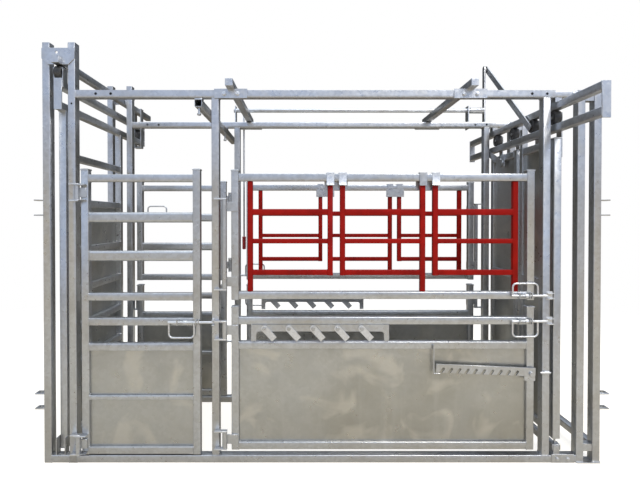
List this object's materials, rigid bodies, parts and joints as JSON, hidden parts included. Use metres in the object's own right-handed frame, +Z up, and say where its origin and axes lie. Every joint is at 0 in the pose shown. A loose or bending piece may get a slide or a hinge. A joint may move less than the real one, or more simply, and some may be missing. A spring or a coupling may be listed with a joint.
{
  "type": "cattle squeeze chute",
  "caption": "Open-topped galvanised box-tube cattle crush with hinged side gates, red needle panels, a sliding rear gate and a lever-worked two-leaf sliding head gate.",
  "frame": {"origin": "floor level, under the middle of the whole outline in plan", "axes": "+X towards the head gate, +Y towards the operator's lever side, +Z up"},
  "size_m": [3.0844, 1.812, 2.416],
  "materials": {
    "galvanised_frame": "hot-dip galvanised box tube, cloudy spangle, weld beads",
    "galvanised_gate": "hot-dip galvanised tube and sheet with cloudy patches",
    "zinc_plated": "bright zinc-plated rod and fasteners",
    "needle_red_paint": "deep red paint, slightly chalky with chipped corners",
    "nylon_roller": "black turned nylon",
    "grip_red": "red ribbed hand grip"
  },
  "bodies": {
    "frame": {"near_side_frame": "galvanised_frame", "far_side_frame": "galvanised_frame", "rear_outrigger": "galvanised_frame", "head_end_posts": "galvanised_frame", "head_track": "galvanised_frame", "head_floor_guide": "galvanised_frame", "top_cross_tubes": "galvanised_frame", "mid_cross_beam": "galvanised_frame", "panel_lugs": "galvanised_frame", "gate_hinge_pins": "zinc_plated", "latch_keepers": "zinc_plated", "crank_bearings": "galvanised_frame", "frame_bolts": "zinc_plated"},
    "rear_gate": {"rear_gate": "galvanised_gate"},
    "rear_gate_roller": {"rear_gate_roller": "nylon_roller"},
    "rear_tail_roller": {"rear_tail_roller": "nylon_roller"},
    "head_leaf_near": {"head_leaf_near": "galvanised_gate"},
    "head_leaf_far": {"head_leaf_far": "galvanised_gate"},
    "head_roller_1": {"head_roller_1": "nylon_roller"},
    "head_roller_2": {"head_roller_2": "nylon_roller"},
    "head_roller_3": {"head_roller_3": "nylon_roller"},
    "head_roller_4": {"head_roller_4": "nylon_roller"},
    "crank": {"crank_shaft": "galvanised_frame", "control_lever": "zinc_plated", "lever_grip": "grip_red"},
    "link_upper": {"link_upper": "galvanised_frame"},
    "link_lower": {"link_lower": "galvanised_frame"},
    "vet_gate_near": {"vet_gate_near": "galvanised_gate"},
    "vet_latch_near": {"vet_latch_near": "zinc_plated"},
    "upper_gate_near": {"upper_gate_near": "galvanised_gate"},
    "upper_latch_near": {"upper_latch_near": "zinc_plated"},
    "needle_near_1": {"needle_near_1": "needle_red_paint"},
    "needle_near_2": {"needle_near_2": "needle_red_paint"},
    "needle_near_3": {"needle_near_3": "needle_red_paint"},
    "saddle_clip_1": {"saddle_clip_1": "zinc_plated"},
    "saddle_clip_2": {"saddle_clip_2": "zinc_plated"},
    "saddle_clip_3": {"saddle_clip_3": "galvanised_frame"},
    "lower_gate_near": {"lower_gate_near": "galvanised_gate", "pawl_plate_near": "galvanised_gate"},
    "lower_latch_near": {"lower_latch_near": "zinc_plated"},
    "pawl_1": {"pawl_1": "zinc_plated"},
    "pawl_2": {"pawl_2": "zinc_plated"},
    "pawl_3": {"pawl_3": "zinc_plated"},
    "pawl_4": {"pawl_4": "zinc_plated"},
    "pawl_5": {"pawl_5": "zinc_plated"},
    "stay_bar": {"stay_bar": "galvanised_gate"},
    "vet_gate_far_upper": {"vet_gate_far_upper": "galvanised_gate"},
    "vet_latch_far_upper": {"vet_latch_far_upper": "zinc_plated"},
    "vet_gate_far_lower": {"vet_gate_far_lower": "galvanised_gate"},
    "vet_latch_far_lower": {"vet_latch_far_lower": "zinc_plated"},
    "upper_gate_far": {"upper_gate_far": "galvanised_gate"},
    "upper_latch_far": {"upper_latch_far": "zinc_plated"},
    "needle_far_1": {"needle_far_1": "needle_red_paint"},
    "needle_far_2": {"needle_far_2": "needle_red_paint"},
    "needle_far_3": {"needle_far_3": "needle_red_paint"},
    "lower_gate_far": {"lower_gate_far": "galvanised_gate", "pawls_far": "zinc_plated"},
    "lower_latch_far": {"lower_latch_far": "zinc_plated"}
  },
  "joints": [
    {"name": "rear_gate_slide", "type": "slide", "parent": "frame", "child": "rear_gate", "axis": [0, 1, 0], "range_m": [0, 0.7]},
    {"name": "rear_roller_spin", "type": "hinge", "parent": "rear_gate", "child": "rear_gate_roller", "pos_m": [-1.406, -0.489, 2.0925], "axis": [1, 0, 0], "range_deg": [-1100, 1100]},
    {"name": "tail_roller_spin", "type": "hinge", "parent": "frame", "child": "rear_tail_roller", "pos_m": [-1.406, 0.676, 1.971], "axis": [1, 0, 0], "range_deg": [-1150, 1150]},
    {"name": "crank_turn", "type": "hinge", "parent": "frame", "child": "crank", "pos_m": [0.3, 0.378, 2.096], "axis": [1, 0, 0], "range_deg": [0, 52]},
    {"name": "head_leaf_near_slide", "type": "slide", "parent": "frame", "child": "head_leaf_near", "axis": [0, -1, 0], "range_m": [0, 0.335]},
    {"name": "head_leaf_far_slide", "type": "slide", "parent": "frame", "child": "head_leaf_far", "axis": [0, 1, 0], "range_m": [0, 0.335]},
    {"name": "link_upper_swing", "type": "hinge", "parent": "head_leaf_near", "child": "link_upper", "pos_m": [1.227, -0.254, 1.854], "axis": [-1, 0, 0], "range_deg": [0, 12]},
    {"name": "link_lower_swing", "type": "hinge", "parent": "head_leaf_far", "child": "link_lower", "pos_m": [1.227, 0.116, 1.683], "axis": [1, 0, 0], "range_deg": [0, 32]},
    {"name": "head_roller_1_spin", "type": "hinge", "parent": "head_leaf_near", "child": "head_roller_1", "pos_m": [1.258, -0.484, 1.854], "axis": [1, 0, 0], "range_deg": [-520, 520]},
    {"name": "head_roller_2_spin", "type": "hinge", "parent": "head_leaf_near", "child": "head_roller_2", "pos_m": [1.258, -0.254, 1.854], "axis": [1, 0, 0], "range_deg": [-520, 520]},
    {"name": "head_roller_3_spin", "type": "hinge", "parent": "head_leaf_far", "child": "head_roller_3", "pos_m": [1.258, -0.004, 1.854], "axis": [1, 0, 0], "range_deg": [-520, 520]},
    {"name": "head_roller_4_spin", "type": "hinge", "parent": "head_leaf_far", "child": "head_roller_4", "pos_m": [1.258, 0.246, 1.854], "axis": [1, 0, 0], "range_deg": [-520, 520]},
    {"name": "vet_gate_near_hinge", "type": "hinge", "parent": "frame", "child": "vet_gate_near", "pos_m": [-1.3025, -0.528, 0.8], "axis": [0, 0, -1], "range_deg": [0, 100]},
    {"name": "vet_latch_near_slide", "type": "slide", "parent": "vet_gate_near", "child": "vet_latch_near", "axis": [-1, 0, 0], "range_m": [0, 0.025], "stiffness_N_per_m": 400, "springref_m": -0.01},
    {"name": "upper_gate_near_hinge", "type": "hinge", "parent": "frame", "child": "upper_gate_near", "pos_m": [-0.52, -0.528, 1.2], "axis": [0, 0, -1], "range_deg": [0, 100]},
    {"name": "upper_latch_near_slide", "type": "slide", "parent": "upper_gate_near", "child": "upper_latch_near", "axis": [-1, 0, 0], "range_m": [0, 0.025], "stiffness_N_per_m": 400, "springref_m": -0.01},
    {"name": "needle_near_1_swing", "type": "hinge", "parent": "upper_gate_near", "child": "needle_near_1", "pos_m": [-0.386, -0.494, 1.2], "axis": [0, 0, -1], "range_deg": [0, 90]},
    {"name": "needle_near_2_swing", "type": "hinge", "parent": "upper_gate_near", "child": "needle_near_2", "pos_m": [0.54, -0.494, 1.2], "axis": [0, 0, 1], "range_deg": [0, 90]},
    {"name": "needle_near_3_swing", "type": "hinge", "parent": "upper_gate_near", "child": "needle_near_3", "pos_m": [1.037, -0.494, 1.2], "axis": [0, 0, 1], "range_deg": [0, 90]},
    {"name": "saddle_clip_1_lift", "type": "slide", "parent": "upper_gate_near", "child": "saddle_clip_1", "axis": [0, 0, 1], "range_m": [0, 0.04]},
    {"name": "saddle_clip_2_lift", "type": "slide", "parent": "upper_gate_near", "child": "saddle_clip_2", "axis": [0, 0, 1], "range_m": [0, 0.04]},
    {"name": "saddle_clip_3_lift", "type": "slide", "parent": "upper_gate_near", "child": "saddle_clip_3", "axis": [0, 0, 1], "range_m": [0, 0.04]},
    {"name": "lower_gate_near_hinge", "type": "hinge", "parent": "frame", "child": "lower_gate_near", "pos_m": [-0.52, -0.528, 0.45], "axis": [0, 0, -1], "range_deg": [0, 100]},
    {"name": "lower_latch_near_slide", "type": "slide", "parent": "lower_gate_near", "child": "lower_latch_near", "axis": [-1, 0, 0], "range_m": [0, 0.025], "stiffness_N_per_m": 400, "springref_m": -0.01},
    {"name": "pawl_1_swing", "type": "hinge", "parent": "lower_gate_near", "child": "pawl_1", "pos_m": [-0.308, -0.525, 0.725], "axis": [0, 1, 0], "range_deg": [-35, 0]},
    {"name": "pawl_2_swing", "type": "hinge", "parent": "lower_gate_near", "child": "pawl_2", "pos_m": [-0.178, -0.525, 0.725], "axis": [0, 1, 0], "range_deg": [-35, 0]},
    {"name": "pawl_3_swing", "type": "hinge", "parent": "lower_gate_near", "child": "pawl_3", "pos_m": [-0.048, -0.525, 0.725], "axis": [0, 1, 0], "range_deg": [-35, 0]},
    {"name": "pawl_4_swing", "type": "hinge", "parent": "lower_gate_near", "child": "pawl_4", "pos_m": [0.082, -0.525, 0.725], "axis": [0, 1, 0], "range_deg": [-35, 0]},
    {"name": "pawl_5_swing", "type": "hinge", "parent": "lower_gate_near", "child": "pawl_5", "pos_m": [0.21, -0.525, 0.725], "axis": [0, 1, 0], "range_deg": [-35, 0]},
    {"name": "stay_bar_swing", "type": "hinge", "parent": "lower_gate_near", "child": "stay_bar", "pos_m": [1.115, -0.524, 0.484], "axis": [0, 1, 0], "range_deg": [0, 14]},
    {"name": "vet_gate_far_upper_hinge", "type": "hinge", "parent": "frame", "child": "vet_gate_far_upper", "pos_m": [-0.632, 0.36, 1.2], "axis": [0, 0, -1], "range_deg": [0, 100]},
    {"name": "vet_latch_far_upper_slide", "type": "slide", "parent": "vet_gate_far_upper", "child": "vet_latch_far_upper", "axis": [1, 0, 0], "range_m": [0, 0.025], "stiffness_N_per_m": 400, "springref_m": -0.01},
    {"name": "vet_gate_far_lower_hinge", "type": "hinge", "parent": "frame", "child": "vet_gate_far_lower", "pos_m": [-1.3025, 0.36, 0.4], "axis": [0, 0, 1], "range_deg": [0, 90]},
    {"name": "vet_latch_far_lower_slide", "type": "slide", "parent": "vet_gate_far_lower", "child": "vet_latch_far_lower", "axis": [-1, 0, 0], "range_m": [0, 0.025], "stiffness_N_per_m": 400, "springref_m": -0.01},
    {"name": "upper_gate_far_hinge", "type": "hinge", "parent": "frame", "child": "upper_gate_far", "pos_m": [1.149, 0.36, 1.2], "axis": [0, 0, 1], "range_deg": [-100, 0]},
    {"name": "upper_latch_far_slide", "type": "slide", "parent": "upper_gate_far", "child": "upper_latch_far", "axis": [1, 0, 0], "range_m": [0, 0.025], "stiffness_N_per_m": 400, "springref_m": -0.01},
    {"name": "needle_far_1_swing", "type": "hinge", "parent": "upper_gate_far", "child": "needle_far_1", "pos_m": [1.015, 0.326, 1.2], "axis": [0, 0, -1], "range_deg": [0, 90]},
    {"name": "needle_far_2_swing", "type": "hinge", "parent": "upper_gate_far", "child": "needle_far_2", "pos_m": [0.519, 0.326, 1.2], "axis": [0, 0, -1], "range_deg": [0, 90]},
    {"name": "needle_far_3_swing", "type": "hinge", "parent": "upper_gate_far", "child": "needle_far_3", "pos_m": [-0.408, 0.326, 1.2], "axis": [0, 0, 1], "range_deg": [0, 90]},
    {"name": "lower_gate_far_hinge", "type": "hinge", "parent": "frame", "child": "lower_gate_far", "pos_m": [1.149, 0.36, 0.45], "axis": [0, 0, -1], "range_deg": [0, 100]},
    {"name": "lower_latch_far_slide", "type": "slide", "parent": "lower_gate_far", "child": "lower_latch_far", "axis": [1, 0, 0], "range_m": [0, 0.025], "stiffness_N_per_m": 400, "springref_m": -0.01}
  ],
  "couplings": [
    {"joint": "rear_roller_spin", "follows": "rear_gate_slide", "rad_per_m": 26.316},
    {"joint": "tail_roller_spin", "follows": "rear_gate_slide", "rad_per_m": -27.397},
    {"joint": "head_leaf_near_slide", "follows": "crank_turn", "m_per_rad": 0.35182},
    {"joint": "head_leaf_far_slide", "follows": "crank_turn", "m_per_rad": 0.36063},
    {"joint": "link_upper_swing", "follows": "crank_turn", "ratio": 0.1883},
    {"joint": "link_lower_swing", "follows": "crank_turn", "ratio": 0.5734},
    {"joint": "head_roller_1_spin", "follows": "crank_turn", "ratio": 9.3818},
    {"joint": "head_roller_2_spin", "follows": "crank_turn", "ratio": 9.3818},
    {"joint": "head_roller_3_spin", "follows": "crank_turn", "ratio": -9.6169},
    {"joint": "head_roller_4_spin", "follows": "crank_turn", "ratio": -9.6169}
  ]
}
